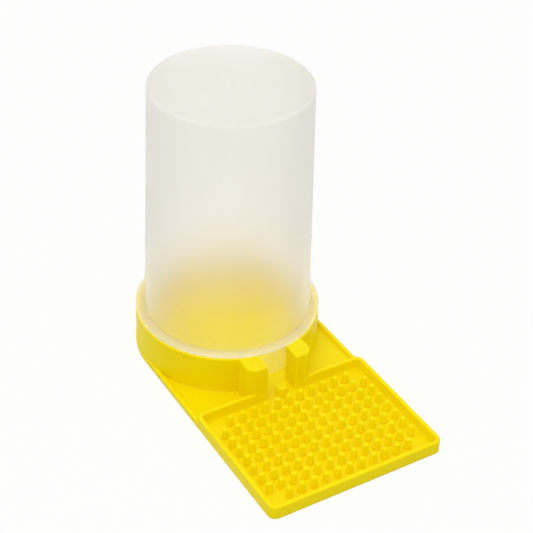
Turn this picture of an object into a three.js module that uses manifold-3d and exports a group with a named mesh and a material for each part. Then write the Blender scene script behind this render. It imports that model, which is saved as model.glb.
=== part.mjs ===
// A bee water feeder: a moulded base with a pegged drinking tray, and an upturned water cup that lifts out.
// Millimetres, +Z up. The origin is on the cup's axis, on the surface that the feeder stands on.
// The drinking tray points to -Y.
import * as THREE from "three";
import { mergeGeometries, mergeVertices } from "three/addons/utils/BufferGeometryUtils.js";
import Module from "manifold-3d";

const wasm = await Module();
wasm.setup();

// The base's driving dimensions
const baseWidth = 95;
const frontReach = 126.3; // from the cup's axis to the front of the tray
const damReach = 55.7; // from the cup's axis to the tray's back wall, which holds the water in
const rimHeight = 6.9; // the tray's rim, and the tips of the pegs
const lipHeight = 3.2; // the low lip round the rest of the base
const floorThickness = 1.2;
const baseWall = 2.2; // the tray's rim, the dam and the lip
const cornerRadius = 4.2; // the tray's corners, seen from above
const leastCornerRadius = 0.4; // the sharpest inside corner that the mould's cutter leaves
const edgeRadius = 0.6; // the moulded top edges of rims and posts
const rootFillet = 0.8; // where a wall rises from the floor

// The collar that the cup stands in, and the outlet between its two posts
const collarInset = 0.35; // the foot of the base stands this far outside the collar
const collarWall = 2;
const collarHeight = 22.2; // also the height of the posts
const collarOuterRound = 1.2;
const collarInnerRound = 0.4;
const outletWidth = 16;
const postWidth = 10;
const postOuterCornerRadius = 5.5; // the corner away from the outlet
const postInnerCornerRadius = 0.8;
const throatRadius = 2; // the corners where the outlet opens from the inside of the collar
const postEdgeRadius = 1;
const postSkin = 2; // the wall that is left round the hollow in each post

// The pegs that the bees stand on
const pegColumns = 13;
const pegRows = 9;
const pegColumnPitch = 6.63;
const pegRowPitch = 6.83;
const pegFieldShift = 0.2; // the field lies this far in front of the tray's middle
const pegFootRadius = 1.75;
const pegTipRadius = 1.35;
const pegTipRound = 0.45;
const outletPegReach = 55.6; // from the cup's axis to the stout peg in the mouth of the outlet
const outletPegFootRadius = 3;
const outletPegTipRadius = 2.65;
const outletPegDimpleRadius = 1.1;
const outletPegDimpleDepth = 0.5;

// The water cup, which stands upside down
const cupHeight = 149.4; // top of the closed end, above the ground
const cupTaper = 3.4; // the closed end's radius is this much less than the open end's
const cupWall = 1.2;
const cupEndThickness = 1.5;
const cupEdgeRadius = 1.6; // round the closed end
const outletDepth = 3.4; // the open end stands this far above the floor, which sets the water level
const flangeThickness = 1.8;
const flangeRound = 0.5;
const gateRadius = 2.3; // the small dished gate mark in the middle of the closed end
const gateDepth = 0.3;

// Clearances, and how far a cut runs past the face that it opens
const seatGap = 0.3; // between the cup's flange and the collar
const skirtClearance = 2.25; // all round between the cup's open end and the inside of the collar
const flangeInset = 0.05; // the flange's edge lies this far inside the outside of the collar
const overrun = 1;

// How finely round forms are divided
const turnSteps = 80; // a full turn of the collar, the cup and the round end of the base
const cornerSteps = 6; // a small corner seen from above
const roundSteps = 3; // a small rounding seen from the side
const pegSides = 9;
const outletPegSides = 16;
const weldDistance = 1e-4; // points nearer than this are one point

// Values that follow from them
const halfWidth = baseWidth / 2;
const collarOuterRadius = halfWidth - collarInset;
const collarInnerRadius = collarOuterRadius - collarWall;
const postOuterSide = outletWidth / 2 + postWidth;
const cupMouthRadius = collarInnerRadius - skirtClearance;
const cupEndRadius = cupMouthRadius - cupTaper;
const flangeRadius = collarOuterRadius - flangeInset;
const flangeBottom = collarHeight + seatGap;
const mouthHeight = floorThickness + outletDepth;
const trayBack = -(damReach - baseWall); // the dam's face towards the collar

const yellowMoulding = new THREE.MeshStandardMaterial({ color: 0xf3d503, roughness: 0.38, metalness: 0 });
const milkyMoulding = new THREE.MeshStandardMaterial({
  color: 0xe9e8e1,
  roughness: 0.42,
  metalness: 0,
  transparent: true,
  opacity: 0.6,
});

// A closed geometry as a solid that can be joined and cut.
function solidOf(geometry) {
  geometry.deleteAttribute("normal");
  geometry.deleteAttribute("uv");
  const merged = mergeVertices(geometry, weldDistance);
  return new wasm.Manifold(
    new wasm.Mesh({
      numProp: 3,
      vertProperties: merged.attributes.position.array,
      triVerts: new Uint32Array(merged.index.array),
    }),
  );
}

// A solid as a named mesh with flat faces.
function meshOf(name, solid, material) {
  const { vertProperties, triVerts } = solid.getMesh();
  const indexed = new THREE.BufferGeometry();
  indexed.setAttribute("position", new THREE.BufferAttribute(vertProperties, 3));
  indexed.setIndex(new THREE.BufferAttribute(triVerts, 1));
  const geometry = indexed.toNonIndexed();
  geometry.computeVertexNormals();
  const mesh = new THREE.Mesh(geometry, material);
  mesh.name = name;
  return mesh;
}

// The points of an arc, from one angle on through a turn.
function arcPoints(centreX, centreY, radius, start, turn, steps = roundSteps) {
  const points = [];
  for (let step = 0; step <= steps; step++) {
    const angle = start + (step / steps) * turn;
    points.push([centreX + radius * Math.cos(angle), centreY + radius * Math.sin(angle)]);
  }
  return points;
}

// The outline of a rounded rectangle, drawn in from its edges by an inset, anticlockwise from above. Its corner
// radii are in the same order: front left, front right, rear right, rear left.
function outlineOf({ left, right, front, rear, radii }, inset) {
  const quarter = Math.PI / 2;
  const corner = (sideX, sideY, inwardsX, inwardsY, radius, start) => {
    const rounding = Math.max(radius - inset, leastCornerRadius);
    const centreX = sideX + inwardsX * (inset + rounding);
    const centreY = sideY + inwardsY * (inset + rounding);
    const steps = radius > cornerRadius ? Math.round(turnSteps / 4) : cornerSteps;
    return arcPoints(centreX, centreY, rounding, start, quarter, steps);
  };
  const points = [
    ...corner(left, front, 1, 1, radii[0], Math.PI),
    ...corner(right, front, -1, 1, radii[1], -quarter),
    ...corner(right, rear, -1, -1, radii[2], 0),
    ...corner(left, rear, 1, -1, radii[3], quarter),
  ];
  return points.filter(([x, y], i) => {
    const [nextX, nextY] = points[(i + 1) % points.length];
    return Math.hypot(nextX - x, nextY - y) > weldDistance;
  });
}

// A solid that passes through the same outline at several levels, each with its own height and inset.
function loft(plan, levels) {
  const rings = levels.map(({ height, inset }) => outlineOf(plan, inset).map(([x, y]) => [x, y, height]));
  const count = rings[0].length;
  const faces = [];
  for (let level = 1; level < rings.length; level++) {
    for (let i = 0; i < count; i++) {
      const here = (level - 1) * count + i;
      const beside = (level - 1) * count + ((i + 1) % count);
      faces.push(here, beside, beside + count, here, beside + count, here + count);
    }
  }
  const topStart = (rings.length - 1) * count;
  for (let i = 1; i < count - 1; i++) {
    faces.push(0, i + 1, i, topStart, topStart + i, topStart + i + 1);
  }
  const geometry = new THREE.BufferGeometry();
  geometry.setAttribute("position", new THREE.Float32BufferAttribute(rings.flat(2), 3));
  geometry.setIndex(faces);
  return solidOf(geometry);
}

// The levels of a quarter round that turns a wall into a flat top.
function roundedTopLevels(top, radius) {
  const levels = [];
  for (let step = 0; step <= roundSteps; step++) {
    const angle = (step / roundSteps) * (Math.PI / 2);
    levels.push({ height: top - radius + radius * Math.sin(angle), inset: radius * (1 - Math.cos(angle)) });
  }
  return levels;
}

// The levels of a pocket: a fillet round its floor, upright walls, and a rounded edge at its mouth.
function pocketLevels(floor, mouth, inset, top) {
  const levels = [];
  for (let step = 0; step <= roundSteps; step++) {
    const angle = (step / roundSteps) * (Math.PI / 2);
    levels.push({
      height: floor + rootFillet * (1 - Math.cos(angle)),
      inset: inset + rootFillet * (1 - Math.sin(angle)),
    });
  }
  for (let step = 0; step <= roundSteps; step++) {
    const angle = (step / roundSteps) * (Math.PI / 2);
    levels.push({
      height: mouth - edgeRadius * (1 - Math.sin(angle)),
      inset: inset - edgeRadius * (1 - Math.cos(angle)),
    });
  }
  levels.push({ height: top, inset: inset - edgeRadius });
  return levels;
}

// A solid of revolution about +Z. Its profile of [radius, height] points runs up the outside.
function revolve(profile, steps) {
  const points = profile.map(([radius, height]) => new THREE.Vector2(radius, height));
  return solidOf(revolvedGeometry(points, steps));
}

function revolvedGeometry(points, steps) {
  return new THREE.LatheGeometry(points, steps).rotateX(Math.PI / 2);
}

// A plain block between two corners.
function block(low, high) {
  const size = high.map((value, axis) => value - low[axis]);
  const middle = high.map((value, axis) => (value + low[axis]) / 2);
  return solidOf(new THREE.BoxGeometry(...size).translate(...middle));
}

// The whole base seen from above: round behind the collar, square with rounded corners in front.
const basePlan = {
  left: -halfWidth,
  right: halfWidth,
  front: -frontReach,
  rear: halfWidth,
  radii: [cornerRadius, cornerRadius, halfWidth, halfWidth],
};

const trayPlan = { ...basePlan, rear: trayBack, radii: [cornerRadius, cornerRadius, cornerRadius, cornerRadius] };

// The shallow pan that carries everything: the floor and the low lip round it.
function makePan() {
  const outside = loft(basePlan, [{ height: 0, inset: 0 }, ...roundedTopLevels(lipHeight, edgeRadius)]);
  const inside = loft(basePlan, pocketLevels(floorThickness, lipHeight, baseWall, lipHeight + overrun));
  return outside.subtract(inside);
}

// The tray's rim and, across the base, the dam that keeps the water in.
function makeTrayBlock() {
  return loft(trayPlan, [{ height: 0, inset: 0 }, ...roundedTopLevels(rimHeight, edgeRadius)]);
}

function makeTrayPocket() {
  return loft(trayPlan, pocketLevels(floorThickness, rimHeight, baseWall, rimHeight + overrun));
}

// The round wall that the cup stands in, filleted into the floor and trimmed to the foot of the base.
function makeCollar() {
  const filletCentre = collarOuterRadius + rootFillet;
  const ring = revolve(
    [
      [collarInnerRadius, 0],
      [filletCentre, 0],
      ...arcPoints(filletCentre, floorThickness + rootFillet, rootFillet, -Math.PI / 2, -Math.PI / 2),
      ...arcPoints(collarOuterRadius - collarOuterRound, collarHeight - collarOuterRound, collarOuterRound,
        0, Math.PI / 2),
      ...arcPoints(collarInnerRadius + collarInnerRound, collarHeight - collarInnerRound, collarInnerRound,
        Math.PI / 2, Math.PI / 2),
      [collarInnerRadius, 0],
    ],
    turnSteps,
  );
  const foot = loft(basePlan, [{ height: 0, inset: 0 }, { height: collarHeight + overrun, inset: 0 }]);
  return ring.intersect(foot);
}

// The space inside the collar, above the floor.
function makeWell() {
  const radius = collarInnerRadius;
  const height = collarHeight + overrun - floorThickness;
  const drum = new THREE.CylinderGeometry(radius, radius, height, turnSteps);
  drum.rotateX(Math.PI / 2).translate(0, 0, floorThickness + height / 2);
  return solidOf(drum);
}

// The way out of the collar, through its wall and the dam, at the level of the floor.
function makeOutlet() {
  const insideWell = Math.sqrt(collarInnerRadius ** 2 - (outletWidth / 2) ** 2) - overrun;
  return block(
    [-outletWidth / 2, -(damReach + rootFillet + overrun), floorThickness],
    [outletWidth / 2, -insideWell, collarHeight + overrun],
  );
}

// What rounds one corner of the outlet, where it opens from the inside of the collar.
function makeThroat(side) {
  const centreX = outletWidth / 2 + throatRadius;
  const centreRadius = collarInnerRadius + throatRadius;
  const centreY = -Math.sqrt(centreRadius ** 2 - centreX ** 2);
  const meets = collarInnerRadius / centreRadius; // the rounding runs into the inside of the collar here
  const height = collarHeight + overrun - floorThickness;
  const near = outletWidth / 2 - overrun;
  const corner = block(
    [Math.min(side * near, side * centreX * meets), centreY, floorThickness],
    [Math.max(side * near, side * centreX * meets), centreY * meets + overrun, floorThickness + height],
  );
  const rounding = new THREE.CylinderGeometry(throatRadius, throatRadius, height + overrun, 4 * cornerSteps);
  rounding.rotateX(Math.PI / 2).translate(side * centreX, centreY, floorThickness + height / 2);
  return corner.subtract(solidOf(rounding));
}

// A post's plan on one side, -1 or 1. Its near and far faces are measured from the middle of the outlet.
function postPlan(side, near, far, front, rear, outerRadius, innerRadius) {
  const frontRadii = side < 0 ? [outerRadius, innerRadius] : [innerRadius, outerRadius];
  return {
    left: Math.min(side * near, side * far),
    right: Math.max(side * near, side * far),
    front,
    rear,
    radii: [...frontRadii, innerRadius, innerRadius],
  };
}

// One of the posts beside the outlet. It is moulded hollow from below, so that it cools evenly.
function makePost(side) {
  const insideWell = Math.sqrt(collarInnerRadius ** 2 - postOuterSide ** 2) - overrun;
  const plan = postPlan(side, outletWidth / 2, postOuterSide, -damReach, -insideWell, postOuterCornerRadius,
    postInnerCornerRadius);
  const post = loft(plan, [{ height: 0, inset: 0 }, ...roundedTopLevels(collarHeight, postEdgeRadius)]);
  return post.subtract(makeWell());
}

function makePostHollow(side) {
  const plan = postPlan(side, outletWidth / 2 + postSkin, postOuterSide - postSkin, postSkin - damReach,
    -(collarOuterRadius + postSkin / 2), postOuterCornerRadius - postSkin, postSkin / 2);
  return loft(plan, [{ height: -overrun, inset: 0 }, { height: collarHeight - postSkin, inset: 0 }]);
}

// A tapered peg with a rounded tip that stands up from the floor to the level of the rim.
function pegGeometry() {
  const foot = -floorThickness / 2;
  const tip = rimHeight - floorThickness;
  const profile = [
    [0, foot],
    [pegFootRadius, foot],
    [pegFootRadius, 0],
    [pegTipRadius, tip - pegTipRound],
    [pegTipRadius - pegTipRound, tip],
    [0, tip],
  ];
  const points = profile.map(([radius, height]) => new THREE.Vector2(radius, height));
  const peg = revolvedGeometry(points, pegSides).rotateZ(Math.PI / pegSides);
  return peg.translate(0, 0, floorThickness);
}

// The field of pegs, the row nearest the outlet first. It leaves out the four corners.
function makePegs() {
  const peg = pegGeometry();
  const middle = -(damReach + frontReach - baseWall) / 2 - pegFieldShift;
  const field = [];
  for (let row = 0; row < pegRows; row++) {
    for (let column = 0; column < pegColumns; column++) {
      const atEnd = row === 0 || row === pegRows - 1;
      const atSide = column === 0 || column === pegColumns - 1;
      if (atEnd && atSide) continue;
      const x = (column - (pegColumns - 1) / 2) * pegColumnPitch;
      const y = middle - (row - (pegRows - 1) / 2) * pegRowPitch;
      field.push(peg.clone().translate(x, y, 0));
    }
  }
  return solidOf(mergeGeometries(field));
}

// The stout peg that stands in the mouth of the outlet.
function makeOutletPeg() {
  const dimpleFloor = rimHeight - outletPegDimpleDepth;
  const peg = revolve(
    [
      [0, floorThickness / 2],
      [outletPegFootRadius, floorThickness / 2],
      [outletPegFootRadius, floorThickness],
      [outletPegTipRadius, rimHeight - pegTipRound],
      [outletPegTipRadius - pegTipRound, rimHeight],
      [outletPegDimpleRadius, rimHeight],
      [outletPegDimpleRadius / 2, dimpleFloor],
      [0, dimpleFloor],
    ],
    outletPegSides,
  );
  return peg.translate(0, -outletPegReach, 0);
}

function makeBase() {
  let base = makePan().add(makeTrayBlock()).add(makeCollar());
  base = base.subtract(makeTrayPocket()).subtract(makeOutlet());
  for (const side of [-1, 1]) {
    base = base.add(makePost(side)).subtract(makePostHollow(side)).subtract(makeThroat(side));
  }
  return base.add(makePegs()).add(makeOutletPeg());
}

// The cup in one profile: closed end, tapered wall, flange that rests on the collar, skirt and open end.
function makeCup() {
  const taper = (cupMouthRadius - cupEndRadius) / (cupHeight - mouthHeight);
  const outerRadiusAt = (height) => cupMouthRadius - taper * (height - mouthHeight);
  const flangeTop = flangeBottom + flangeThickness;
  const roofHeight = cupHeight - cupEndThickness;
  const innerEdge = Math.max(cupEdgeRadius - cupWall, cupWall / 2);
  const outerEdgeCentre = outerRadiusAt(cupHeight) - cupEdgeRadius;
  const innerEdgeCentre = outerRadiusAt(roofHeight) - cupWall - innerEdge;
  return revolve(
    [
      [0, roofHeight],
      ...arcPoints(innerEdgeCentre, roofHeight - innerEdge, innerEdge, Math.PI / 2, -Math.PI / 2),
      [cupMouthRadius - cupWall, mouthHeight],
      [cupMouthRadius, mouthHeight],
      [outerRadiusAt(flangeBottom), flangeBottom],
      ...arcPoints(flangeRadius - flangeRound, flangeBottom + flangeRound, flangeRound, -Math.PI / 2, Math.PI / 2),
      ...arcPoints(flangeRadius - flangeRound, flangeTop - flangeRound, flangeRound, 0, Math.PI / 2),
      [outerRadiusAt(flangeTop), flangeTop],
      ...arcPoints(outerEdgeCentre, cupHeight - cupEdgeRadius, cupEdgeRadius, 0, Math.PI / 2),
      [gateRadius, cupHeight],
      [gateRadius / 2, cupHeight - gateDepth],
      [0, cupHeight - gateDepth],
    ],
    turnSteps,
  );
}

const feeder = new THREE.Group();
feeder.add(meshOf("drinking_base", makeBase(), yellowMoulding));
feeder.add(meshOf("water_cup", makeCup(), milkyMoulding));

export default feeder;
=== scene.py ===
import math

import bpy
from mathutils import Matrix, Vector


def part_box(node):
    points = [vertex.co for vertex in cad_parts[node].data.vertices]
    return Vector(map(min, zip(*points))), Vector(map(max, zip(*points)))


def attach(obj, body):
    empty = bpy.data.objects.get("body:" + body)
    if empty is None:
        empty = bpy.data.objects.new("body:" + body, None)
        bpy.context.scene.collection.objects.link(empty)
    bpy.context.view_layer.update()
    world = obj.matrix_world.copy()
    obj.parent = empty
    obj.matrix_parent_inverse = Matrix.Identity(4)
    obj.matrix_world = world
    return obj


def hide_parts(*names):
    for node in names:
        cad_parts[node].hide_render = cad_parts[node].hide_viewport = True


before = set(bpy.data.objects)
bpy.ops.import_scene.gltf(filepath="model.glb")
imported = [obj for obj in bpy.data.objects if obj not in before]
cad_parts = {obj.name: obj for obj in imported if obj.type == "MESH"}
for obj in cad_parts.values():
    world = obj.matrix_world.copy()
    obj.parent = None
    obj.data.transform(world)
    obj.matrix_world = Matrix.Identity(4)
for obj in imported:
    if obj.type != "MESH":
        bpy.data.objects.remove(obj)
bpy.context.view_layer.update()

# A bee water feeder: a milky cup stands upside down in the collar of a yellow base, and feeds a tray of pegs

mm = 0.001
sameSpot = 0.001 * mm  # points closer together than this are one point
baseLow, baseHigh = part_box("drinking_base")
cupLow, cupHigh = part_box("water_cup")
print("frame loaded:", sorted(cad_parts))


# Small tools for meshes

def arcPoints(centreX, centreY, radius, startDegrees, turnDegrees, steps):
    points = []
    for step in range(steps + 1):
        angle = math.radians(startDegrees + turnDegrees * step / steps)
        points.append((centreX + radius * math.cos(angle), centreY + radius * math.sin(angle)))
    return points


def newPiece(name, vertices, faces):
    mesh = bpy.data.meshes.new(name)
    mesh.from_pydata(vertices, [], faces)
    mesh.validate()
    piece = bpy.data.objects.new(name, mesh)
    bpy.context.scene.collection.objects.link(piece)
    return piece


def planOutline(plan, inset):
    # a rounded rectangle seen from above, drawn in by inset, anticlockwise from the front left
    # each corner has its two sides, the ways inward from them, and the direction in which its arc starts
    corners = [("left", "front", 1, 1, 180), ("right", "front", -1, 1, 270),
               ("right", "rear", -1, -1, 0), ("left", "rear", 1, -1, 90)]
    points = []
    for (sideX, sideY, inX, inY, startDegrees), radius in zip(corners, plan["radii"]):
        rounding = max(radius - inset, plan["leastRadius"])
        centreX = plan[sideX] + inX * (inset + rounding)
        centreY = plan[sideY] + inY * (inset + rounding)
        steps = plan["roundSteps"] if radius > plan["wideCorner"] else plan["cornerSteps"]
        points += arcPoints(centreX, centreY, rounding, startDegrees, 90, steps)
    nextPoints = points[1:] + points[:1]
    return [point for point, after in zip(points, nextPoints) if math.dist(point, after) > sameSpot]


def loft(name, plan, levels):
    # one outline at several heights, each level a (height, inset) pair, closed above and below
    rings = [[(x, y, height) for x, y in planOutline(plan, inset)] for height, inset in levels]
    count = len(rings[0])
    vertices = [point for ring in rings for point in ring]
    faces = []
    for level in range(len(rings) - 1):
        low, high = level * count, (level + 1) * count
        for i in range(count):
            beside = (i + 1) % count
            faces.append((low + i, low + beside, high + beside, high + i))
    faces.append(tuple(reversed(range(count))))
    faces.append(tuple(range(len(vertices) - count, len(vertices))))
    return newPiece(name, vertices, faces)


def prism(name, outline, low, high):
    count = len(outline)
    vertices = [(x, y, z) for z in (low, high) for x, y in outline]
    faces = [(i, (i + 1) % count, count + (i + 1) % count, count + i) for i in range(count)]
    faces += [tuple(reversed(range(count))), tuple(range(count, 2 * count))]
    return newPiece(name, vertices, faces)


def latheGeometry(profile, steps, centre=(0, 0), startVertex=0):
    # turns a (radius, height) profile about a vertical line, on which it starts and ends unless it is closed
    centreX, centreY = centre
    vertices, rings, faces = [], [], []
    closed = math.dist(profile[0], profile[-1]) < sameSpot
    for radius, height in profile[:-1] if closed else profile:
        first = startVertex + len(vertices)
        if radius < sameSpot:
            vertices.append((centreX, centreY, height))
            rings.append([first] * steps)
            continue
        for step in range(steps):
            angle = 2 * math.pi * step / steps
            vertices.append((centreX + radius * math.cos(angle), centreY + radius * math.sin(angle), height))
        rings.append(list(range(first, first + steps)))
    pairs = list(zip(rings, rings[1:] + rings[:1])) if closed else list(zip(rings, rings[1:]))
    for low, high in pairs:
        for step in range(steps):
            beside = (step + 1) % steps
            face = [low[step], low[beside], high[beside], high[step]]
            faces.append(tuple(dict.fromkeys(face)))  # a triangle where it meets the line
    return vertices, faces


def applyModifiers(piece):
    bpy.context.view_layer.update()
    made = piece.evaluated_get(bpy.context.evaluated_depsgraph_get())
    mesh = bpy.data.meshes.new_from_object(made)
    piece.modifiers.clear()
    piece.data = mesh


def combine(target, tool, operation):
    modifier = target.modifiers.new(operation.lower(), "BOOLEAN")
    modifier.operation = operation
    modifier.solver = "EXACT"
    modifier.object = tool
    applyModifiers(target)
    bpy.data.objects.remove(tool)


def shadeSmooth(piece, sharpDegrees):
    # rounds show smooth, flats stay flat: normals are weighted by the area of the faces
    piece.data.polygons.foreach_set("use_smooth", [True] * len(piece.data.polygons))
    piece.data.set_sharp_from_angle(angle=math.radians(sharpDegrees))
    modifier = piece.modifiers.new("weightedNormals", "WEIGHTED_NORMAL")
    modifier.keep_sharp = True
    applyModifiers(piece)


def roundedTop(top, radius, steps):
    # levels for a form whose top edge is rounded
    return [(z, radius - x) for x, z in arcPoints(0, top - radius, radius, 0, 90, steps)]


def pocketLevels(floor, mouth, inset, fillet, edge, top, steps):
    # a fillet round the floor, upright walls, and a rounded edge at the mouth
    turns = [math.radians(90 * step / steps) for step in range(steps + 1)]
    levels = [(floor + fillet - fillet * math.cos(turn),
               inset + fillet - fillet * math.sin(turn)) for turn in turns]
    levels += [(mouth - edge + edge * math.sin(turn),
                inset - edge + edge * math.cos(turn)) for turn in turns]
    return levels + [(top, inset - edge)]


# Small tools for materials

colorMix = {"share": 0, "first": 6, "second": 7, "result": 2}  # sockets of a Mix node that mixes two colours


def linearColor(hexValue):
    # sRGB as it is written, to the linear light that the sockets take
    channels = [int(hexValue[i:i + 2], 16) / 255 for i in (1, 3, 5)]
    return tuple(c / 12.92 if c <= 0.04045 else ((c + 0.055) / 1.055) ** 2.4 for c in channels) + (1.0,)


def addNode(tree, kind, settings=None, values=None, links=None):
    node = tree.nodes.new(kind)
    for name, value in (settings or {}).items():
        setattr(node, name, value)
    for name, value in (values or {}).items():
        node.inputs[name].default_value = value
    for name, source in (links or {}).items():
        tree.links.new(source, node.inputs[name])
    return node


def setRamp(node, stops):
    ramp = node.color_ramp
    while len(ramp.elements) < len(stops):
        ramp.elements.new(0.5)
    for element, (position, color) in zip(ramp.elements, stops):
        element.position = position
        element.color = linearColor(color)


def newMaterial(name):
    material = bpy.data.materials.new(name)
    material.use_nodes = True
    tree = material.node_tree
    tree.nodes.clear()
    output = addNode(tree, "ShaderNodeOutputMaterial")
    coordinates = addNode(tree, "ShaderNodeTexCoord")
    return material, tree, output, coordinates.outputs["Object"]


def rayShare(tree, kinds):
    # 1 for rays of these kinds and 0 for all others
    path = addNode(tree, "ShaderNodeLightPath")
    share, *others = (path.outputs[kind] for kind in kinds)
    for other in others:
        either = addNode(tree, "ShaderNodeMath", {"operation": "MAXIMUM"}, links={0: share, 1: other})
        share = either.outputs[0]
    return share


def addMeasures(tree, place):
    # where a point lies: to either side, along the base, above the ground and away from the cup's axis
    # level goes from 0 on an upright face to 1 on one that lies level
    geometry = addNode(tree, "ShaderNodeNewGeometry")
    axes = addNode(tree, "ShaderNodeSeparateXYZ", links={0: place})
    direction = addNode(tree, "ShaderNodeSeparateXYZ", links={0: geometry.outputs["Normal"]})
    flat = addNode(tree, "ShaderNodeVectorMath", {"operation": "MULTIPLY"}, {1: (1, 1, 0)}, {0: place})
    radius = addNode(tree, "ShaderNodeVectorMath", {"operation": "LENGTH"},
                     links={0: flat.outputs["Vector"]})
    across, level = (addNode(tree, "ShaderNodeMath", {"operation": "ABSOLUTE"}, links={0: value}).outputs[0]
                     for value in (axes.outputs["X"], direction.outputs["Z"]))
    return {"across": across, "along": axes.outputs["Y"], "height": axes.outputs["Z"],
            "radius": radius.outputs["Value"], "level": level}


def addMask(tree, measures, most, limits):
    # 0 where any measure is at its first limit, and most where all are past their second
    mask = None
    for name, start, end in limits:
        passed = addNode(tree, "ShaderNodeMapRange", None, {"From Min": start, "From Max": end},
                         {"Value": measures[name]})
        product = addNode(tree, "ShaderNodeMath", {"operation": "MULTIPLY"}, {0: most},
                          {1: passed.outputs["Result"]})
        if mask is not None:
            tree.links.new(mask, product.inputs[0])
        mask = product.outputs[0]
    return mask


def addMouldedPlastic(tree, looks, place, flowPlace):
    # what both plastics share: patches left by the flow of the melt, a fine grain and a soft shine
    flow = addNode(tree, "ShaderNodeTexNoise", None,
                   {"Scale": 1 / looks["flowSize"], "Detail": looks["flowDetail"],
                    "Roughness": looks["flowRoughness"]}, {"Vector": flowPlace})
    tint = addNode(tree, "ShaderNodeValToRGB", links={"Fac": flow.outputs["Fac"]})
    setRamp(tint, looks["flowColors"])
    grain = addNode(tree, "ShaderNodeTexNoise", None,
                    {"Scale": 1 / looks["grainSize"], "Detail": looks["grainDetail"],
                     "Roughness": looks["grainRoughness"]}, {"Vector": place})
    bump = addNode(tree, "ShaderNodeBump", None,
                   {"Strength": looks["grainStrength"], "Distance": looks["grainHeight"]},
                   {"Height": grain.outputs["Fac"]})
    smoothest, roughest = looks["roughness"]
    rough = addNode(tree, "ShaderNodeMapRange", None,
                    {"From Min": looks["flowColors"][0][0], "From Max": looks["flowColors"][-1][0],
                     "To Min": smoothest, "To Max": roughest}, {"Value": flow.outputs["Fac"]})
    shader = addNode(tree, "ShaderNodeBsdfPrincipled", None,
                     {"IOR": looks["ior"], "Specular IOR Level": looks["specular"],
                      "Subsurface Weight": looks["throughShare"], "Subsurface Scale": looks["throughReach"],
                      "Subsurface Radius": looks["throughSpread"]},
                     {"Base Color": tint.outputs["Color"], "Roughness": rough.outputs["Result"],
                      "Normal": bump.outputs["Normal"]})
    return shader, tint.outputs["Color"]


# Yellow polypropylene, coloured right through and injection moulded: deep, opaque, with a soft satin shine

yellowLooks = {
    # deep where the melt ran fast, and thinner where it ran slower, by the height of the noise
    "flowColors": ((0.3, "#F8DF00"), (0.5, "#F9E200"), (0.7, "#FAE404")),
    "flowSize": 38 * mm,  # patches left by the flow
    "flowDetail": 2.0,
    "flowRoughness": 0.5,
    "grainSize": 0.55 * mm,  # a spark-eroded mould is finer, drawn as coarse as it needs to show
    "grainDetail": 3.0,
    "grainRoughness": 0.6,
    "grainHeight": 0.012 * mm,
    "grainStrength": 0.5,
    "roughness": (0.34, 0.46),
    "ior": 1.49,
    "specular": 0.11,
    "throughShare": 0.8,  # the share of the light that wanders inside the plastic before it comes out
    "throughReach": 1.0 * mm,  # how far it wanders
    "throughSpread": (1.0, 1.0, 0.1),  # of that reach, for red, green and blue: blue is soon lost
    # one plastic, but the upright faces in the tray are painted lighter than this yellow gives them: painted
    # light, standing in for the light that bounces between the tray's walls and pegs, with a tint matched to
    # their lighter tone
    "trayPaintedLightColor": "#FFE902",
    "trayPaintedLightLimits": (  # where the painted light lies: the inside of the tray, from the fillet round its floor to the pegs' tips
        ("across", 46.6 * mm, 46.2 * mm),
        ("along", -54.5 * mm, -56.5 * mm),
        ("along", -125.4 * mm, -125.0 * mm),
        ("height", 1.3 * mm, 2.2 * mm),
        ("height", 6.9 * mm, 6.4 * mm),
    ),
}


def makeYellowPolypropylene():
    looks = yellowLooks
    material, tree, output, place = newMaterial("yellowPolypropylene")
    shader, tint = addMouldedPlastic(tree, looks, place, place)
    # the upright faces inside the tray are painted lighter: painted bounce light
    trayPaintedLightMask = addMask(tree, addMeasures(tree, place), 1.0, looks["trayPaintedLightLimits"])
    tone = addNode(tree, "ShaderNodeMix", {"data_type": "RGBA"},
                   {colorMix["second"]: linearColor(looks["trayPaintedLightColor"])},
                   {colorMix["share"]: trayPaintedLightMask, colorMix["first"]: tint})
    tree.links.new(tone.outputs[colorMix["result"]], shader.inputs["Base Color"])
    tree.links.new(shader.outputs["BSDF"], output.inputs["Surface"])
    return material


# Natural polypropylene, injection moulded without pigment: its crystals scatter light, so it is milky,
# and it shows only what is close behind it

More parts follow.
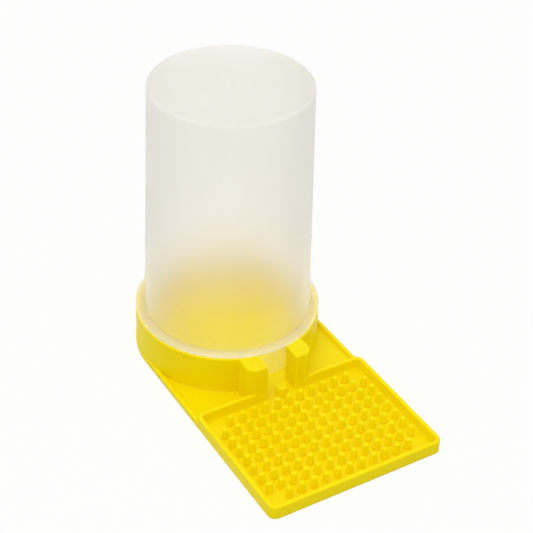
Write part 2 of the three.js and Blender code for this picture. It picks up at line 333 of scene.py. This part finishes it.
naturalLooks = {
    "flowColors": ((0.35, "#FCFBF6"), (0.65, "#FEFDFA")),
    "flowSize": 24 * mm,  # across the streaks that the melt leaves as it runs up the wall
    "flowStretch": 0.22,  # the streaks run up and down
    "flowDetail": 3.0,
    "flowRoughness": 0.55,
    "grainSize": 0.8 * mm,  # a fine orange peel, drawn as coarse as it needs to show
    "grainDetail": 2.0,
    "grainRoughness": 0.5,
    "grainHeight": 0.006 * mm,
    "grainStrength": 0.4,
    "roughness": (0.46, 0.52),
    "ior": 1.25,  # less than the plastic's own 1.49: a wall this thin hardly bends what is seen through it
    "specular": 0.4,
    "clearSquare": (0.6, 0.9),  # the share that goes straight on, square to the wall: high up, and low down
    "clearAlong": (0.2, 0.75),  # the same where the wall is seen along its face
    "clearFacing": (0.23, 0.7),  # how far the wall turns away where the one share ends and the other begins
    "lowLimits": (("height", 80 * mm, 42 * mm),),  # below, the yellow base is close behind the wall
    "clearLevel": 0.9,  # the share for the closed end and the flange, which lie level
    "levelLimits": (("level", 0.6, 0.95),),
    "edgeLossesAndPaintedHighlight": (  # the flange's rim and the mouth look milkier, and the edge of the closed end carries a painted highlight; this is the part of the share that each of them loses at most
        (0.22, (("radius", 42.3 * mm, 42.7 * mm),  # the flange's rim
                ("height", baseHigh.z - 0.1 * mm, baseHigh.z + 0.3 * mm))),
        (0.4, (("height", cupLow.z + 0.9 * mm, cupLow.z + 0.2 * mm),)),  # the mouth
        (0.2, (("radius", 36.6 * mm, 37.0 * mm),  # a painted highlight: a fine bright line along the edge of the closed end
               ("radius", 38.0 * mm, 37.6 * mm),
               ("height", cupHigh.z - 0.3 * mm, cupHigh.z - 0.1 * mm))),
    ),
    "throughShare": 1.0,  # of the light that doesn't go straight on
    "throughReach": 8.0 * mm,
    "throughSpread": (1.0, 0.98, 0.92),
    "lightColor": "#FEFEFC",  # what the room's light keeps at each face as it fills the cup
}


def addClearShare(tree, looks, place):
    # the share of the light that goes straight on through the plastic
    measures = addMeasures(tree, place)
    low = addMask(tree, measures, 1.0, looks["lowLimits"])
    square, along = (
        addNode(tree, "ShaderNodeMapRange", None, {"To Min": above, "To Max": below}, {"Value": low})
        for above, below in (looks["clearSquare"], looks["clearAlong"]))
    facing = addNode(tree, "ShaderNodeLayerWeight")
    squareEnd, alongEnd = looks["clearFacing"]
    wall = addNode(tree, "ShaderNodeMapRange", None, {"From Min": squareEnd, "From Max": alongEnd},
                   {"Value": facing.outputs["Facing"], "To Min": square.outputs["Result"],
                    "To Max": along.outputs["Result"]})
    clear = addNode(tree, "ShaderNodeMapRange", None, {"To Max": looks["clearLevel"]},
                    {"Value": addMask(tree, measures, 1.0, looks["levelLimits"]),
                     "To Min": wall.outputs["Result"]})
    # one of these losses paints a highlight line along the edge of the closed end
    lost, *others = (addMask(tree, measures, most, limits) for most, limits in looks["edgeLossesAndPaintedHighlight"])
    for other in others:
        larger = addNode(tree, "ShaderNodeMath", {"operation": "MAXIMUM"}, links={0: lost, 1: other})
        lost = larger.outputs[0]
    kept = addNode(tree, "ShaderNodeMath", {"operation": "SUBTRACT"}, {0: 1.0}, {1: lost})
    entering = addNode(tree, "ShaderNodeMath", {"operation": "MULTIPLY"},
                       links={0: clear.outputs["Result"], 1: kept.outputs[0]})
    # light that is inside the plastic already passes out whole
    geometry = addNode(tree, "ShaderNodeNewGeometry")
    share = addNode(tree, "ShaderNodeMath", {"operation": "MAXIMUM"},
                    links={0: entering.outputs[0], 1: geometry.outputs["Backfacing"]})
    return share.outputs[0]


def makeNaturalPolypropylene():
    looks = naturalLooks
    material, tree, output, place = newMaterial("naturalPolypropylene")
    streaks = addNode(tree, "ShaderNodeMapping", None, {"Scale": (1, 1, looks["flowStretch"])},
                      {"Vector": place})
    shader, _ = addMouldedPlastic(tree, looks, place, streaks.outputs["Vector"])
    tree.links.new(addClearShare(tree, looks, place), shader.inputs["Transmission Weight"])
    # the light of the room passes the wall on its way to what stands behind it
    passing = rayShare(tree, ("Is Shadow Ray", "Is Diffuse Ray"))
    window = addNode(tree, "ShaderNodeBsdfTransparent", None, {"Color": linearColor(looks["lightColor"])})
    mixed = addNode(tree, "ShaderNodeMixShader",
                    links={0: passing, 1: shader.outputs["BSDF"], 2: window.outputs["BSDF"]})
    tree.links.new(mixed.outputs[0], output.inputs["Surface"])
    return material


yellowPolypropylene = makeYellowPolypropylene()
naturalPolypropylene = makeNaturalPolypropylene()
print("materials made")


def finishPiece(piece, material, body, node):
    piece.data.materials.clear()
    piece.data.materials.append(material)
    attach(piece, body)
    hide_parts(node)


# The base, one moulding: a shallow pan, the tray and its dam, the collar and the two posts

base = {
    "halfWidth": baseHigh.x,
    "frontReach": -baseLow.y,
    "rearReach": baseHigh.y,
    "height": baseHigh.z,
    "damReach": 55.7 * mm,  # from the cup's axis to the wall at the back of the tray
    "rimHeight": 6.9 * mm,
    "lipHeight": 3.2 * mm,
    "floor": 1.2 * mm,
    "wall": 2.2 * mm,
    "cornerRadius": 4.2 * mm,
    "edge": 0.6 * mm,  # rounded top edges
    "fillet": 0.8 * mm,
    "collarInset": 0.35 * mm,  # the collar's face stands this far inside the edge of the base
    "collarWall": 2 * mm,
    "footInset": 0.1 * mm,  # the fillet at the collar's foot ends this far inside the base's outer wall
    "collarOuterRound": 1.2 * mm,
    "collarInnerRound": 0.4 * mm,
    "outletWidth": 16 * mm,
    "postWidth": 10 * mm,
    "postOuterCorner": 5.5 * mm,  # the front corner away from the outlet
    "postInnerCorner": 0.8 * mm,
    "postEdge": 1 * mm,
    "throatRadius": 2 * mm,  # the corners where the outlet opens from the inside of the collar
    "postSkin": 2 * mm,  # the posts are hollow from below, and this thick
    "proud": 0.02 * mm,  # the posts stand out from the dam's face and the outlet's sides by a hair
    "leastRadius": 0.4 * mm,
    "overrun": 1 * mm,  # how far a cutting form goes past what it cuts
    "turnSteps": 128,
    "cornerSteps": 10,
    "edgeSteps": 5,
    "sharpDegrees": 40,  # edges that turn by more than this stay sharp
}
base["collarOuter"] = base["halfWidth"] - base["collarInset"]
base["collarInner"] = base["collarOuter"] - base["collarWall"]


def basePlan():
    return {"left": -base["halfWidth"], "right": base["halfWidth"], "front": -base["frontReach"],
            "rear": base["rearReach"], "radii": 2 * (base["cornerRadius"],) + 2 * (base["halfWidth"],),
            "leastRadius": base["leastRadius"], "wideCorner": base["cornerRadius"],
            "roundSteps": base["turnSteps"] // 4, "cornerSteps": base["cornerSteps"]}


def trayPlan():
    return {**basePlan(), "rear": base["wall"] - base["damReach"], "radii": 4 * (base["cornerRadius"],)}


def makePan():
    steps = base["edgeSteps"]
    pan = loft("drinkingBase", basePlan(), [(0, 0)] + roundedTop(base["lipHeight"], base["edge"], steps))
    pocket = loft("panPocket", basePlan(), pocketLevels(
        base["floor"], base["lipHeight"], base["wall"], base["fillet"], base["edge"],
        base["lipHeight"] + base["overrun"], steps))
    combine(pan, pocket, "DIFFERENCE")
    return pan


def addTray(pan):
    steps = base["edgeSteps"]
    tray = loft("tray", trayPlan(), [(0, 0)] + roundedTop(base["rimHeight"], base["edge"], steps))
    combine(pan, tray, "UNION")


def cutTray(pan):
    pocket = loft("trayPocket", trayPlan(), pocketLevels(
        base["floor"], base["rimHeight"], base["wall"], base["fillet"], base["edge"],
        base["rimHeight"] + base["overrun"], base["edgeSteps"]))
    combine(pan, pocket, "DIFFERENCE")


def addCollar(pan):
    # a solid drum that starts inside the floor: its well is cut once the posts stand
    outer, rounding = base["collarOuter"], base["collarOuterRound"]
    fillet, steps, over = base["fillet"], base["edgeSteps"], base["overrun"]
    root = base["floor"] / 2
    profile = [(0, root), (outer + fillet, root)]
    profile += arcPoints(outer + fillet, base["floor"] + fillet, fillet, -90, -90, steps)
    profile += arcPoints(outer - rounding, base["height"] - rounding, rounding, 0, 90, steps)
    profile += [(0, base["height"])]
    drum = newPiece("drum", *latheGeometry(profile, base["turnSteps"]))
    foot = loft("foot", basePlan(), [(z, base["footInset"]) for z in (-over, base["height"] + over)])
    combine(drum, foot, "INTERSECT")
    combine(pan, drum, "UNION")


def cutWell(pan):
    inner, steps, rounding = base["collarInner"], base["edgeSteps"], base["collarInnerRound"]
    above = base["height"] + base["overrun"]
    profile = [(0, base["floor"]), (inner, base["floor"])]
    profile += arcPoints(inner + rounding, base["height"] - rounding, rounding, 180, -90, steps)
    profile += [(inner + rounding, above), (0, above)]
    combine(pan, newPiece("well", *latheGeometry(profile, base["turnSteps"])), "DIFFERENCE")


def cutOutlet(pan):
    half = base["outletWidth"] / 2
    insideWell = math.sqrt(base["collarInner"] ** 2 - half ** 2) - base["overrun"]
    front = -(base["damReach"] + base["fillet"] + base["overrun"])
    outline = [(-half, front), (half, front), (half, -insideWell), (-half, -insideWell)]
    combine(pan, prism("outlet", outline, base["floor"], base["height"] + base["overrun"]), "DIFFERENCE")


def cutThroat(pan, side):
    # the outline holds what is cut off the corner, and its arc turns about a point inside the wall
    radius, over = base["throatRadius"], base["overrun"]
    x = base["outletWidth"] / 2 + radius
    y = -math.sqrt((base["collarInner"] + radius) ** 2 - x ** 2)
    spread = math.degrees(math.atan2(x, -y))
    arc = arcPoints(x, y, radius, 180, spread - 90, base["cornerSteps"])
    middle, inside = arc[0][0] - over, arc[-1][1] + over
    outline = arc + [(arc[-1][0], inside), (middle, inside), (middle, y)]
    # read backwards where it is mirrored, so that it still runs the same way round
    outline = [(side * x, y) for x, y in outline][::side]
    combine(pan, prism("throat", outline, base["floor"], base["height"] + over), "DIFFERENCE")


def postPlan(side, near, far, front, rear, outerCorner, innerCorner):
    # side is -1 or 1; near and far are measured from the middle of the outlet
    corners = (outerCorner, innerCorner) if side < 0 else (innerCorner, outerCorner)
    return {"left": min(side * near, side * far), "right": max(side * near, side * far),
            "front": front, "rear": rear, "radii": corners + (innerCorner, innerCorner),
            "leastRadius": base["leastRadius"], "wideCorner": base["halfWidth"],
            "roundSteps": base["cornerSteps"], "cornerSteps": base["cornerSteps"]}


def addPost(pan, side):
    near = base["outletWidth"] / 2
    far = near + base["postWidth"]
    insideWell = math.sqrt(base["collarInner"] ** 2 - far ** 2) - base["overrun"]
    plan = postPlan(side, near - base["proud"], far, -base["damReach"] - base["proud"], -insideWell,
                    base["postOuterCorner"], base["postInnerCorner"])
    levels = [(base["floor"] / 2, 0)] + roundedTop(base["height"], base["postEdge"], base["edgeSteps"])
    combine(pan, loft("post", plan, levels), "UNION")


def cutPostHollow(pan, side):
    near, skin = base["outletWidth"] / 2, base["postSkin"]
    plan = postPlan(side, near + skin, near + base["postWidth"] - skin, skin - base["damReach"],
                    -(base["collarOuter"] + skin / 2), base["postOuterCorner"] - skin, skin / 2)
    hollow = loft("postHollow", plan, [(-base["overrun"], 0), (base["height"] - skin, 0)])
    combine(pan, hollow, "DIFFERENCE")


drinkingBase = makePan()
addTray(drinkingBase)
addCollar(drinkingBase)
cutTray(drinkingBase)
cutOutlet(drinkingBase)
for side in (-1, 1):
    addPost(drinkingBase, side)
cutWell(drinkingBase)
for side in (-1, 1):
    cutThroat(drinkingBase, side)
    cutPostHollow(drinkingBase, side)
print("base made:", len(drinkingBase.data.polygons), "faces")


# The pegs that bees stand on, with a stout one in the mouth of the outlet

pegs = {
    "columns": 13,
    "rows": 9,
    "columnPitch": 6.63 * mm,
    "rowPitch": 6.83 * mm,
    "fieldShift": 0.2 * mm,  # the field lies this far in front of the tray's middle
    "footRadius": 1.75 * mm,
    "tipRadius": 1.35 * mm,
    "tipRound": 0.45 * mm,
    "sunk": 0.3 * mm,  # below the floor's face, where peg and floor are one
    "stoutReach": 55.6 * mm,  # from the cup's axis
    "stoutFootRadius": 3 * mm,
    "stoutTipRadius": 2.65 * mm,
    "stoutTipRound": 0.5 * mm,
    "dimpleRadius": 1.1 * mm,
    "dimpleDepth": 0.6 * mm,
    "sides": 20,
    "stoutSides": 40,
    "roundSteps": 4,
}


def pegProfile(footRadius, tipRadius, tipRound):
    floor, tip = base["floor"], base["rimHeight"]
    profile = [(0, floor - pegs["sunk"]), (footRadius, floor - pegs["sunk"]), (footRadius, floor)]
    return profile + arcPoints(tipRadius - tipRound, tip - tipRound, tipRound, 0, 90, pegs["roundSteps"])


def makePegs():
    vertices, faces = [], []
    profile = pegProfile(pegs["footRadius"], pegs["tipRadius"], pegs["tipRound"]) + [(0, base["rimHeight"])]
    lastRow, lastColumn = pegs["rows"] - 1, pegs["columns"] - 1
    middle = -(base["damReach"] + base["frontReach"] - base["wall"]) / 2 - pegs["fieldShift"]
    for row in range(pegs["rows"]):
        for column in range(pegs["columns"]):
            if row in (0, lastRow) and column in (0, lastColumn):
                continue  # the corners of the field are bare
            centre = ((column - lastColumn / 2) * pegs["columnPitch"],
                      middle - (row - lastRow / 2) * pegs["rowPitch"])
            points, sides = latheGeometry(profile, pegs["sides"], centre, len(vertices))
            vertices += points
            faces += sides
    stout = pegProfile(pegs["stoutFootRadius"], pegs["stoutTipRadius"], pegs["stoutTipRound"])
    radius, depth, tip = pegs["dimpleRadius"], pegs["dimpleDepth"], base["rimHeight"]
    bowl = (radius ** 2 + depth ** 2) / (2 * depth)  # the dimple's radius as part of a ball
    spread = math.degrees(math.asin(radius / bowl))
    dimple = arcPoints(0, tip - depth + bowl, bowl, -90 + spread, -spread, pegs["roundSteps"])
    points, sides = latheGeometry(stout + dimple[:-1] + [(0, tip - depth)], pegs["stoutSides"],
                                  (0, -pegs["stoutReach"]), len(vertices))
    return newPiece("pegs", vertices + points, faces + sides)


combine(drinkingBase, makePegs(), "UNION")
shadeSmooth(drinkingBase, base["sharpDegrees"])
finishPiece(drinkingBase, yellowPolypropylene, "base", "drinking_base")
print("pegs joined to the base:", len(drinkingBase.data.polygons), "faces")


# The cup: closed end, tapered wall, flange on the collar, and skirt down to its open mouth

cup = {
    "top": cupHigh.z,
    "mouth": cupLow.z,
    "flangeRadius": cupHigh.x,
    "endRadius": 39.5 * mm,
    "mouthRadius": 42.9 * mm,
    "wall": 1.2 * mm,
    "endThickness": 1.5 * mm,
    "edgeRadius": 1.6 * mm,
    "innerEdge": 0.6 * mm,
    "flangeBottom": base["height"] + 0.3 * mm,
    "flangeThickness": 1.8 * mm,
    "flangeRound": 0.5 * mm,
    "rootFillet": 0.5 * mm,  # between wall and flange
    "mouthRound": 0.35 * mm,
    "gateRadius": 2.3 * mm,
    "gateDepth": 0.3 * mm,
    "turnSteps": 160,
    "roundSteps": 6,
    "sharpDegrees": 40,
}


def cupRadiusAt(height):
    share = (height - cup["mouth"]) / (cup["top"] - cup["mouth"])
    return cup["mouthRadius"] + share * (cup["endRadius"] - cup["mouthRadius"])


def makeCup():
    # the profile runs down the inside, round the mouth, up the outside and back to the axis at the gate mark
    top, mouth, wall, steps = cup["top"], cup["mouth"], cup["wall"], cup["roundSteps"]
    edge, innerEdge, fillet = cup["edgeRadius"], cup["innerEdge"], cup["rootFillet"]
    roof = top - cup["endThickness"]
    low, high = cup["flangeBottom"], cup["flangeBottom"] + cup["flangeThickness"]
    rim, flange = cup["flangeRound"], cup["flangeRadius"]
    mouthRound = cup["mouthRound"]
    profile = [(0, roof)]
    profile += arcPoints(cupRadiusAt(roof) - wall - innerEdge, roof - innerEdge, innerEdge, 90, -90, steps)
    profile += [(cupRadiusAt(mouth) - wall, mouth + mouthRound)]
    profile += arcPoints(cup["mouthRadius"] - mouthRound, mouth + mouthRound, mouthRound, -90, 90, steps)
    profile += [(cupRadiusAt(low - fillet), low - fillet)]
    profile += arcPoints(cupRadiusAt(low) + fillet, low - fillet, fillet, 180, -90, steps)[1:]
    profile += arcPoints(flange - rim, low + rim, rim, -90, 90, steps)
    profile += arcPoints(flange - rim, high - rim, rim, 0, 90, steps)
    profile += arcPoints(cupRadiusAt(high) + fillet, high + fillet, fillet, -90, -90, steps)
    profile += arcPoints(cupRadiusAt(top) - edge, top - edge, edge, 0, 90, steps)
    gate, depth = cup["gateRadius"], cup["gateDepth"]
    for step in range(steps + 1):
        # the dish is half a wave deep, so that no edge shows
        share = step / steps
        profile.append((gate * (1 - share), top - depth * (1 - math.cos(math.pi * share)) / 2))
    return newPiece("waterCup", *latheGeometry(profile, cup["turnSteps"]))


waterCup = makeCup()
shadeSmooth(waterCup, cup["sharpDegrees"])
finishPiece(waterCup, naturalPolypropylene, "cup", "water_cup")
print("cup made:", len(waterCup.data.polygons), "faces")


# The stage: a pale floor, an even studio light, and the photograph's camera

stage = {
    "floorHalf": 6.0,  # m
    "floorDrop": 0.05 * mm,  # below the feeder's foot, so that the two faces stay apart
    "floorColor": "#DCDAD5",
    "whiteColor": "#FFFFFF",
    "whiteStrength": 1.0,
    "whiteShare": 0.95,  # of the floor, the camera sees this much as plain white and the rest as it is lit
    "horizonStrength": 0.64,  # a little less light comes from the side than from above, and it is warmer
    "zenithStrength": 0.95,
    "horizonColor": "#FFFBF5",
    "zenithColor": "#FFFFFF",
    "lampPower": 4.2,  # W
    "lampSize": 1.1,  # m, across
    "lampPlace": (-0.35, -0.25, 1.25),
    "lampTarget": (0, -0.04, 0.05),
    # the rays that see the background: straight, mirrored or through something clear
    "seenBy": ("Is Camera Ray", "Is Glossy Ray", "Is Transmission Ray"),
}


def makeFloor():
    half = stage["floorHalf"]
    corners = [(-half, -half, 0), (half, -half, 0), (half, half, 0), (-half, half, 0)]
    floor = newPiece("floor", corners, [(0, 1, 2, 3)])
    floor.location.z = -stage["floorDrop"]
    material, tree, output, _ = newMaterial("paleFloor")
    lit = addNode(tree, "ShaderNodeBsdfDiffuse", None, {"Color": linearColor(stage["floorColor"])})
    white = addNode(tree, "ShaderNodeEmission", None,
                    {"Color": linearColor(stage["whiteColor"]), "Strength": stage["whiteStrength"]})
    share = addNode(tree, "ShaderNodeMath", {"operation": "MULTIPLY"}, {1: stage["whiteShare"]},
                    {0: rayShare(tree, stage["seenBy"])})
    mixed = addNode(tree, "ShaderNodeMixShader",
                    links={0: share.outputs[0], 1: lit.outputs[0], 2: white.outputs[0]})
    tree.links.new(mixed.outputs[0], output.inputs["Surface"])
    floor.data.materials.append(material)


def makeWorld():
    world = bpy.data.worlds.new("studio")
    bpy.context.scene.world = world
    world.use_nodes = True
    tree = world.node_tree
    tree.nodes.clear()
    output = addNode(tree, "ShaderNodeOutputWorld")
    direction = addNode(tree, "ShaderNodeTexCoord")
    height = addNode(tree, "ShaderNodeSeparateXYZ", links={0: direction.outputs["Generated"]})
    strength = addNode(tree, "ShaderNodeMapRange", None,
                       {"To Min": stage["horizonStrength"], "To Max": stage["zenithStrength"]},
                       {"Value": height.outputs["Z"]})
    color = addNode(tree, "ShaderNodeValToRGB", links={"Fac": height.outputs["Z"]})
    setRamp(color, ((0, stage["horizonColor"]), (1, stage["zenithColor"])))
    light = addNode(tree, "ShaderNodeBackground",
                    links={"Color": color.outputs["Color"], "Strength": strength.outputs["Result"]})
    white = addNode(tree, "ShaderNodeBackground", None,
                    {"Color": linearColor(stage["whiteColor"]), "Strength": stage["whiteStrength"]})
    mixed = addNode(tree, "ShaderNodeMixShader",
                    links={0: rayShare(tree, stage["seenBy"]), 1: light.outputs[0], 2: white.outputs[0]})
    tree.links.new(mixed.outputs[0], output.inputs["Surface"])


def makeLamp():
    data = bpy.data.lights.new("softbox", "AREA")
    data.shape = "DISK"
    data.size = stage["lampSize"]
    data.energy = stage["lampPower"]
    lamp = bpy.data.objects.new("softbox", data)
    bpy.context.scene.collection.objects.link(lamp)
    lamp.location = stage["lampPlace"]
    aim = Vector(stage["lampTarget"]) - lamp.location
    lamp.rotation_euler = aim.to_track_quat("-Z", "Y").to_euler()


# The camera that was fitted to the object's edges in the photograph

photoCamera = {
    "focalPixels": 1379.421,
    "framePixels": 533,
    "sensor": 36,  # mm, the sensor's width
    "azimuth": -31.8745,  # degrees, 0 looks along +Y
    "elevation": 35.9733,
    "roll": 2.2097,
    "place": (-282.416 * mm, -491.198 * mm, 456.239 * mm),
}


def makeCamera():
    azimuth, elevation, roll = (math.radians(photoCamera[name]) for name in ("azimuth", "elevation", "roll"))
    forward = Vector((-math.sin(azimuth) * math.cos(elevation), math.cos(azimuth) * math.cos(elevation),
                      -math.sin(elevation)))
    level = Vector((math.cos(azimuth), math.sin(azimuth), 0))
    up = level.cross(forward)
    cameraRight = math.cos(roll) * level + math.sin(roll) * up
    cameraUp = -math.sin(roll) * level + math.cos(roll) * up
    data = bpy.data.cameras.new("camera")
    data.sensor_width = photoCamera["sensor"]
    data.lens = photoCamera["focalPixels"] / photoCamera["framePixels"] * photoCamera["sensor"]
    data.clip_end = 4 * stage["floorHalf"]  # past the floor's far corners
    camera = bpy.data.objects.new("camera", data)
    bpy.context.scene.collection.objects.link(camera)
    axes = Matrix((cameraRight, cameraUp, -forward)).transposed()
    camera.matrix_world = Matrix.Translation(photoCamera["place"]) @ axes.to_4x4()
    bpy.context.scene.camera = camera


makeFloor()
makeWorld()
makeLamp()
makeCamera()
bpy.context.scene.view_settings.view_transform = "Standard"
print("stage made")
